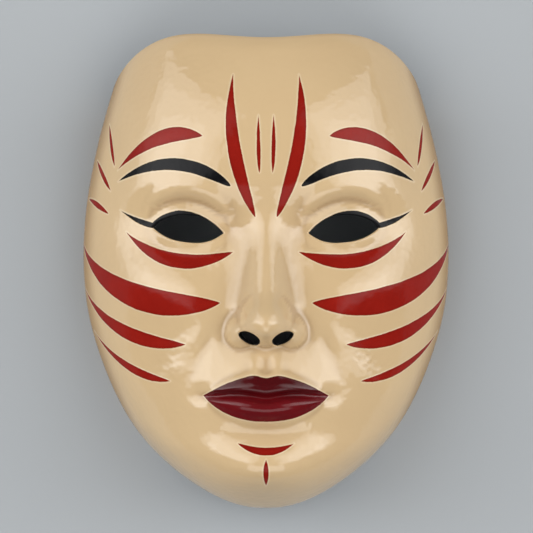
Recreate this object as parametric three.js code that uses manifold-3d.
// A full-face stage mask: one moulded shell with open eyes and nostrils and a strap slot in each side.
// Millimetres. X runs across the face, Y up it and Z out of it, from the plane of the side rims, on which
// it lies.
import * as THREE from 'three';
import { mergeVertices } from 'three/addons/utils/BufferGeometryUtils.js';
import Module from 'manifold-3d';

// The shell
const faceLength = 210; // chin to the forehead's cut edge
const faceWidth = 168; // across the cheekbones, before the sides turn in
const faceDepth = 67.5; // side rims to the brow
const wall = 3.5;
const chinRimRise = 26; // the chin's rim above the side rims
const crownDip = 2; // the middle of the forehead's edge below its two crests
const rimTuck = 3; // how far the side rims turn in from the mask's widest line
const tuckHeight = 20; // where that turn starts

// The openings
const eyeSpacing = 68; // centre to centre
const eyeLine = 18.5; // above the middle of the face
const eyeLength = 31;
const eyeHeight = 12;
const nostrilSpacing = 14.8; // centre to centre
const nostrilLength = 10;
const nostrilWidth = 4.4;
const slotLength = 10.5;
const slotHeight = 3.8;
const slotUp = 45; // above the middle of the face
const slotFromRim = 11; // middle of the slot above the rim

// The features
const noseProjection = 22.4;
const noseWidth = 36;
const mouthWidth = 54;
const mouthLine = -53;

// Fineness of the facets
const columns = 52;
const rowBands = [
  // share of the face's length, rows
  [0.17, 8], [0.15, 13], [0.13, 10], [0.1, 6], [0.135, 11], [0.315, 12],
];
const lidPoints = 14;

// The carving keeps a canon face's proportions, 165 wide, 210 long and 67.5 deep, stretched to the real
// sizes.
const stretchX = faceWidth / 165;
const stretchY = faceLength / 210;
const stretchZ = faceDepth / 67.5;
const sideLine = [
  [-105, 40], [-92, 48], [-78, 56], [-60, 65.5], [-40, 74], [-18, 80.3], [4, 82.5], [28, 81.3],
  [55, 76.5], [80, 70], [105, 62.5],
]; // height, half width
const midline = [
  [-105, 50], [-92, 62], [-80, 66.5], [-66, 66], [-50, 66.5], [-32, 65.5], [0, 62.5], [24, 64.2], [42, 67.3],
  [60, 67.5], [80, 63], [95, 56.5], [105, 51],
]; // height, depth of the plain vault that the features stand on
const chin = { end: -105, join: -62, roll: 24 };
const crown = { end: 105, join: 66, roll: 7, crest: 0.5, drop: 1.5 };
const broadSwells = [
  // across, up, half wide, half tall, tilt in degrees, rise
  [26, 74, 24, 18, 0, 0.8], // forehead
  [66, 46, 11, 22, 0, -2], // temples
  [32, 39, 24, 8, 4, 1.5], // brows
  [55, 33, 9, 8, -25, 0.8], // outer brows
  [34, 20, 20, 13, 3, -5], // eye sockets
  [15, 20, 6.5, 10, 0, -3.2], // inner eye sockets
  [47, -5, 20, 14, 18, 4.6], // cheekbones
  [29, -14, 13, 13, 0, 2.6], // front of the cheeks
  [50, -42, 15, 18, -20, -2], // hollows of the cheeks
  [0, -49, 25, 19, 0, 4.5], // round of the mouth
  [0, -87, 17, 12, 0, 5], // chin
  [0, -71, 17, 5.5, 0, -2.4], // fold over the chin
  [56, -52, 13, 13, 0, 1.5], // corners of the jaw
];

const eye = {
  across: eyeSpacing / 2 / stretchX,
  up: eyeLine / stretchY,
  half: eyeLength / 2 / stretchX,
  over: (0.55 * eyeHeight) / stretchY,
  under: (0.45 * eyeHeight) / stretchY,
  slope: 0.08,
  ball: { radius: 16, middle: 42.3, beyond: 60 }, // the lids' round, its middle, its fall past the edge
};
const nostril = { across: nostrilSpacing / 2 / stretchX, up: -28.2, tilt: THREE.MathUtils.degToRad(28) };
const nose = {
  root: 36,
  tip: -19,
  base: -33,
  rise: noseProjection / stretchZ,
  half: noseWidth / 2 / stretchX,
};
const noseTip = { wide: 0.67 * nose.half, tall: 12, sharpness: 0.54 };
const noseWing = {
  across: 0.58 * nose.half,
  up: nose.tip - 6,
  wide: 0.41 * nose.half,
  tall: 8.2,
  turn: 0.45, // its outer end down
  rise: 0.49 * nose.rise,
  sharpness: 0.85,
};
const noseBlend = { tip: 4, wing: 6 };
const mouth = { up: mouthLine / stretchY, half: mouthWidth / 2 / stretchX };
const upperLip = { height: 9.6, rise: 3.2, middle: 0.45, spread: 0.62, bow: 1.7 };
const lowerLip = { height: 11, rise: 4.2, middle: 0.48, spread: 0.5 };
const cheekFold = { start: -22, across: 19.5, drift: 13.5, length: 28 }; // from the nose past the mouth

// Small curves that the carving is made of
const share = (t) => THREE.MathUtils.clamp(t, 0, 1);
const bell = (t) => Math.exp(-t * t);
const dome = (r, power) => share(1 - r * r) ** power;
const softMax = (a, b, blend) => (a + b + Math.hypot(a - b, blend)) / 2;

function ease(from, to, t) {
  const s = share((t - from) / (to - from));
  return s * s * (3 - 2 * s);
}

function curveThrough(knots, at) {
  const t = THREE.MathUtils.clamp(at, knots[0][0], knots.at(-1)[0]);
  const i = Math.min(Math.max(knots.findIndex((knot) => knot[0] > t) - 1, 0), knots.length - 2);
  const last = t >= knots.at(-1)[0] ? knots.length - 2 : i;
  const slope = (k) => (knots[k + 1][1] - knots[k][1]) / (knots[k + 1][0] - knots[k][0]);
  const tangent = (k) => {
    if (k === 0) return slope(0);
    if (k === knots.length - 1) return slope(k - 1);
    const before = knots[k][0] - knots[k - 1][0];
    const after = knots[k + 1][0] - knots[k][0];
    return (slope(k - 1) * after + slope(k) * before) / (before + after);
  };
  const step = knots[last + 1][0] - knots[last][0];
  const s = (t - knots[last][0]) / step;
  return (
    (2 * s ** 3 - 3 * s ** 2 + 1) * knots[last][1] +
    (s ** 3 - 2 * s ** 2 + s) * step * tangent(last) +
    (3 * s ** 2 - 2 * s ** 3) * knots[last + 1][1] +
    (s ** 3 - s ** 2) * step * tangent(last + 1)
  );
}

// A bell-shaped swell and its mirror image, its outer end tilted up
function swell(x, y, across, up, wide, tall, tilt = 0) {
  const turn = THREE.MathUtils.degToRad(tilt);
  const sides = across === 0 ? [1] : [1, -1];
  return sides.reduce((sum, side) => {
    const dx = side * x - across;
    const dy = y - up;
    const along = (dx * Math.cos(turn) + dy * Math.sin(turn)) / wide;
    const over = (dy * Math.cos(turn) - dx * Math.sin(turn)) / tall;
    return sum + Math.exp(-along * along - over * over);
  }, 0);
}

// The outline in plan: half widths by height, and the ends of each lengthwise line by its place across
const halfWidth = (y) => curveThrough(sideLine, y);
const chinEdge = (xn) => chin.join + (chin.end - chin.join) * Math.sqrt(1 - Math.abs(xn) ** 2.2);

function crownEdge(xn) {
  const fromCrest = Math.max(Math.abs(xn) - crown.crest, 0) / (1 - crown.crest);
  const dip = (crownDip / stretchY) * (1 - Math.min(Math.abs(xn) / crown.crest, 1) ** 2) ** 2;
  return crown.join + (crown.end - crown.join) * (1 - fromCrest ** 2.4) ** (1 / 3) - dip;
}

// The plain vault: round across, rolled in under the chin and at the forehead's edge
function vault(x, y) {
  const xn = Math.min(Math.abs(x) / halfWidth(y), 1);
  const open = curveThrough(midline, y) * (1 - xn ** 2.35) ** (1 / 2.05);
  const intoChin = Math.sqrt(1 - (1 - share((y - chinEdge(xn)) / chin.roll)) ** 2.2);
  const rim = (chinRimRise / stretchZ) * (1 - xn ** 3);
  const intoCrown = share((crownEdge(xn) - y) / crown.roll);
  return rim * (1 - intoChin) + open * intoChin - crown.drop * (1 - intoCrown) ** 2 * (1 - xn ** 6);
}

const swells = (x, y) => broadSwells.reduce((sum, [across, up, wide, tall, tilt, rise]) => {
  return sum + rise * swell(x, y, across, up, wide, tall, tilt);
}, 0);

// The carving fades out towards the side rims, which stay plain and flat
function fadedToRim(x, y, carved) {
  return THREE.MathUtils.lerp(vault(x, y), carved, ease(1, 0.82, Math.abs(x) / halfWidth(y)));
}

// Nose: a ridge that widens to the tip, with a round tip and a wing on each side
function noseForm(x, y) {
  const ax = Math.abs(x);
  const down = THREE.MathUtils.clamp((nose.root - y) / (nose.root - nose.tip), 0, 1.1);
  const slope = 0.94 * nose.rise * (0.25 * ease(0, 1, down) + 0.75 * down ** 1.1);
  const overBase = ease(nose.base - 1, nose.tip - 2, y);
  const ridgeHalf = nose.half * (0.42 + 0.22 * ease(18, -20, y));
  const ridge = slope * overBase * Math.exp(-((ax / ridgeHalf) ** 2.2));
  const tipReach = Math.hypot(x / noseTip.wide, (y - nose.tip + 1) / noseTip.tall);
  const tip = nose.rise * dome(tipReach, noseTip.sharpness);
  const dx = ax - noseWing.across;
  const dy = y - noseWing.up;
  const wingReach = Math.hypot(
    (dx * Math.cos(noseWing.turn) + dy * Math.sin(noseWing.turn)) / noseWing.wide,
    (dy * Math.cos(noseWing.turn) - dx * Math.sin(noseWing.turn)) / noseWing.tall,
  );
  const wing = noseWing.rise * dome(wingReach, noseWing.sharpness);
  const blended = (a, b, c) => softMax(softMax(a, b, noseBlend.tip), c, noseBlend.wing);
  const body = blended(ridge, tip, wing) - blended(0, 0, 0);
  const wingFold = bell((wingReach - 1.15) / 0.28) * ease(-34, -28, y) * ease(9, 14, ax) * ease(-12, -17, y);
  const septum = bell(x / 3) * ease(-35, -30, y) * ease(-22, -26, y);
  return body - 0.7 * wingFold + 1.4 * septum;
}

// Eyes: a round lid over the eyeball, with a fold above and a soft one below
const eyeAxis = (ax) => eye.up + eye.slope * (ax - eye.across);

function upperLid(ax) {
  const s = share(Math.abs(ax - eye.across) / eye.half);
  return eyeAxis(ax) + eye.over * (1 - s ** 2.2) ** 0.9;
}

function lowerLid(ax) {
  const s = share(Math.abs(ax - eye.across) / eye.half);
  return eyeAxis(ax) - eye.under * (1 - s ** 2.4) ** 0.95;
}

function withEyes(x, y, z) {
  const ax = Math.abs(x);
  const { radius, middle, beyond } = eye.ball;
  const offAxis = ((ax - eye.across) ** 2 * 0.85 + (y - eye.up) ** 2) / radius ** 2;
  const ball = middle + radius * Math.sqrt(Math.max(1 - offAxis, 0)) - beyond * share(offAxis - 0.98);
  const s = share(Math.abs(ax - eye.across) / (eye.half + 5));
  const fade = 1 - ease(0.6, 1, s);
  const foldOver = eyeAxis(ax) + (eye.over + 5.5) * (1 - s * s) ** 0.8 + 0.5;
  const foldUnder = eyeAxis(ax) - (eye.under + 6) * (1 - s * s) ** 0.8 - 0.5;
  const lidFold = 1.6 * bell((y - foldOver - 5) / 4) - 0.9 * bell((y - foldOver) / 1.6);
  const folds = lidFold - 0.5 * bell((y - foldUnder) / 2.4);
  return softMax(z, ball, 2.5) + folds * fade;
}

// Mouth: two full lips that meet in a soft bow, closed
function mouthForm(x, y) {
  const ax = Math.abs(x);
  const t = share(ax / mouth.half);
  const meet = mouth.up - 0.3 - 0.8 * bell(x / 5) + 0.8 * bell((ax - 13) / 7);
  const top = mouth.up + upperLip.height * (1 - t ** 1.75) - upperLip.bow * bell(x / 3.6);
  const bottom = mouth.up - lowerLip.height * (1 - t ** 2.3) ** 0.85;
  const full = 1 - t ** 2.4;
  const over = y > meet;
  const { rise, middle, spread } = over ? upperLip : lowerLip;
  const reach = over ? (y - meet) / Math.max(top - meet, 0.8) : (meet - y) / Math.max(meet - bottom, 0.8);
  const round = bell((reach - middle) / spread) - bell(middle / spread) * bell((y - meet) / 1.6);
  const lip = rise * full * round;
  const seam = bell((y - meet) / 1.4) * ease(1.12, 0.9, ax / mouth.half);
  const corners = swell(x, y, mouth.half + 0.8, mouth.up, 4.4, 3.8);
  const inside = ease(1, 0.8, t);
  const edges = (0.4 * bell((y - top - 0.6) / 1.3) + 0.2 * bell((y - bottom + 0.6) / 1.2)) * inside;
  const grooveReach = ease(-46, -42, y) * ease(-33, -39, y);
  const groove = (0.6 * bell((ax - 5.2) / 2.2) - 0.8 * bell(x / 2.8)) * grooveReach;
  const down = share((cheekFold.start - y) / cheekFold.length);
  const foldLine = cheekFold.across + cheekFold.drift * down ** 0.7;
  const fold = 0.9 * bell((ax - foldLine - 8) / 7) - 0.7 * bell((ax - foldLine) / 4);
  return lip - seam - 1.3 * corners + edges + groove + fold * ease(-20, -32, y) * ease(-58, -42, y);
}

function carvedForm(x, y) {
  const face = vault(x, y) + swells(x, y) + noseForm(x, y);
  return fadedToRim(x, y, withEyes(x, y, face) + mouthForm(x, y));
}

// The inside keeps the broad form and a plain hollow behind the nose
function hollowForm(x, y) {
  const down = THREE.MathUtils.clamp((nose.root - y) / (nose.root - nose.tip), 0, 1.1);
  const behindNose = 0.6 * nose.rise * down ** 1.3 * ease(nose.base, nose.tip - 3, y);
  return fadedToRim(x, y, vault(x, y) + swells(x, y) + behindNose * bell(x / (0.6 * nose.half)));
}

// A point of a surface: u runs from one side rim to the other, v from the chin's edge to the forehead's
function pointOn(form, u, v) {
  const xn = Math.sin((Math.PI / 2) * (0.55 * u + 0.45 * u ** 3));
  const y = THREE.MathUtils.lerp(chinEdge(xn), crownEdge(xn), v);
  const x = xn * halfWidth(y);
  const z = Math.max(form(x, y), 0) * stretchZ;
  const tuck = Math.sign(x) * rimTuck * Math.max(0, 1 - z / tuckHeight) ** 2;
  return new THREE.Vector3(x * stretchX - tuck, y * stretchY, z);
}

// The inner skin: the hollow form moved in by the wall, level with the outer skin along the side rims
function innerPoint(u, v) {
  const step = 0.004;
  const [u0, u1] = [Math.max(u - step, -1), Math.min(u + step, 1)];
  const [v0, v1] = [Math.max(v - step, 0), Math.min(v + step, 1)];
  const across = pointOn(hollowForm, u1, v).sub(pointOn(hollowForm, u0, v));
  const along = pointOn(hollowForm, u, v1).sub(pointOn(hollowForm, u, v0));
  const normal = across.cross(along).normalize();
  normal.z *= ease(1, 0.9, Math.abs(u));
  return pointOn(hollowForm, u, v).addScaledVector(normal.normalize(), -wall);
}

const wasm = await Module();
wasm.setup();

function toSolid(geometry) {
  const bare = geometry.clone();
  bare.deleteAttribute('normal');
  bare.deleteAttribute('uv');
  const merged = mergeVertices(bare, 1e-4);
  return new wasm.Manifold(
    new wasm.Mesh({
      numProp: 3,
      vertProperties: new Float32Array(merged.attributes.position.array),
      triVerts: new Uint32Array(merged.index.array),
    }),
  );
}

function toGeometry(solid) {
  const { vertProperties, triVerts } = solid.getMesh();
  const geometry = new THREE.BufferGeometry();
  geometry.setAttribute('position', new THREE.BufferAttribute(vertProperties, 3));
  geometry.setIndex(new THREE.BufferAttribute(triVerts, 1));
  geometry.computeVertexNormals();
  return geometry;
}

// Rows of the outer skin, closer together at the mouth, nose and eyes
function rowPlaces() {
  const places = [0];
  let start = 0;
  for (const [span, count] of rowBands) {
    for (let i = 1; i <= count; i += 1) places.push(start + (span * i) / count);
    start += span;
  }
  return places.map((place) => place / start);
}

// Two skins of quads, the inner one half as fine, joined around the rim
function blankShell() {
  const rows = rowPlaces();
  const us = Array.from({ length: columns + 1 }, (_, i) => (2 * i) / columns - 1);
  const outer = us.map((u) => rows.map((v) => pointOn(carvedForm, u, v)));
  const everySecond = (list) => list.filter((_, i) => i % 2 === 0);
  const inner = everySecond(us).map((u) => everySecond(rows).map((v) => innerPoint(u, v)));
  const triangles = [];
  const skin = (grid, outwards) => {
    for (let i = 0; i + 1 < grid.length; i += 1) {
      for (let j = 0; j + 1 < grid[i].length; j += 1) {
        const [a, b, c, d] = [grid[i][j], grid[i + 1][j], grid[i + 1][j + 1], grid[i][j + 1]];
        const pair = i < grid.length / 2 === outwards ? [[a, b, c], [a, c, d]] : [[a, b, d], [b, c, d]];
        for (const triangle of pair) triangles.push(outwards ? triangle : triangle.toReversed());
      }
    }
  };
  const edgeOf = (grid) => {
    const [lastColumn, lastRow] = [grid.length - 1, grid[0].length - 1];
    return [
      ...grid.slice(0, lastColumn).map((column) => column[0]),
      ...grid[lastColumn].slice(0, lastRow),
      ...grid.slice(1).reverse().map((column) => column[lastRow]),
      ...grid[0].slice(1).reverse(),
    ];
  };
  skin(outer, true);
  skin(inner, false);
  const [outerEdge, innerEdge] = [edgeOf(outer), edgeOf(inner)];
  innerEdge.forEach((from, i) => {
    const to = innerEdge[(i + 1) % innerEdge.length];
    const [a, b, c] = [0, 1, 2].map((k) => outerEdge[(2 * i + k) % outerEdge.length]);
    triangles.push([from, b, a], [from, to, b], [to, c, b]);
  });
  const geometry = new THREE.BufferGeometry().setFromPoints(triangles.flat());
  return toSolid(geometry);
}

// Cutters, each longer than the wall is thick
const cutterLength = 3 * faceDepth;

function eyeCutter(side) {
  const lid = (curve, from, to) =>
    Array.from({ length: lidPoints }, (_, i) => {
      const ax = eye.across + eye.half * Math.cos(THREE.MathUtils.lerp(from, to, i / lidPoints));
      return new THREE.Vector2(side * ax * stretchX, curve(ax) * stretchY);
    });
  const outline = [...lid(upperLid, 0, Math.PI), ...lid(lowerLid, Math.PI, 2 * Math.PI)];
  const shape = new THREE.Shape(outline);
  return toSolid(new THREE.ExtrudeGeometry(shape, { depth: cutterLength, bevelEnabled: false }));
}

function nostrilCutter(side) {
  const shape = new THREE.Shape();
  const middle = [side * nostril.across * stretchX, nostril.up * stretchY];
  const halves = [nostrilLength / 2, nostrilWidth / 2];
  shape.absellipse(...middle, ...halves, 0, 2 * Math.PI, false, side * nostril.tilt);
  const options = { depth: cutterLength, bevelEnabled: false, curveSegments: 16 };
  return toSolid(new THREE.ExtrudeGeometry(shape, options));
}

// The slot has round ends and goes square through the side wall
function slotCutter(side) {
  const straight = (slotLength - slotHeight) / 2;
  const shape = new THREE.Shape();
  shape.absarc(straight, 0, slotHeight / 2, -Math.PI / 2, Math.PI / 2);
  shape.absarc(-straight, 0, slotHeight / 2, Math.PI / 2, (3 * Math.PI) / 2);
  const options = { depth: 6 * wall, bevelEnabled: false, curveSegments: 5 };
  const cutter = new THREE.ExtrudeGeometry(shape, options);
  const across = halfWidth(slotUp / stretchY) * stretchX;
  const ahead = halfWidth(slotUp / stretchY + 1) * stretchX - across;
  const lean = Math.atan2(ahead, stretchY);
  cutter.translate(0, 0, -3 * wall);
  cutter.rotateX(Math.PI / 2);
  cutter.rotateZ(Math.PI / 2 - side * lean);
  cutter.translate(side * across, slotUp, slotFromRim);
  return toSolid(cutter);
}

function maskShell() {
  let shell = blankShell();
  for (const side of [1, -1]) {
    shell = shell.subtract(eyeCutter(side)).subtract(nostrilCutter(side)).subtract(slotCutter(side));
  }
  return toGeometry(shell);
}

const lacquer = new THREE.MeshStandardMaterial({ color: '#dcc49d', roughness: 0.32, metalness: 0 });

const mask = new THREE.Group();
const shell = new THREE.Mesh(maskShell(), lacquer);
shell.name = 'mask_shell';
mask.add(shell);

export default mask;
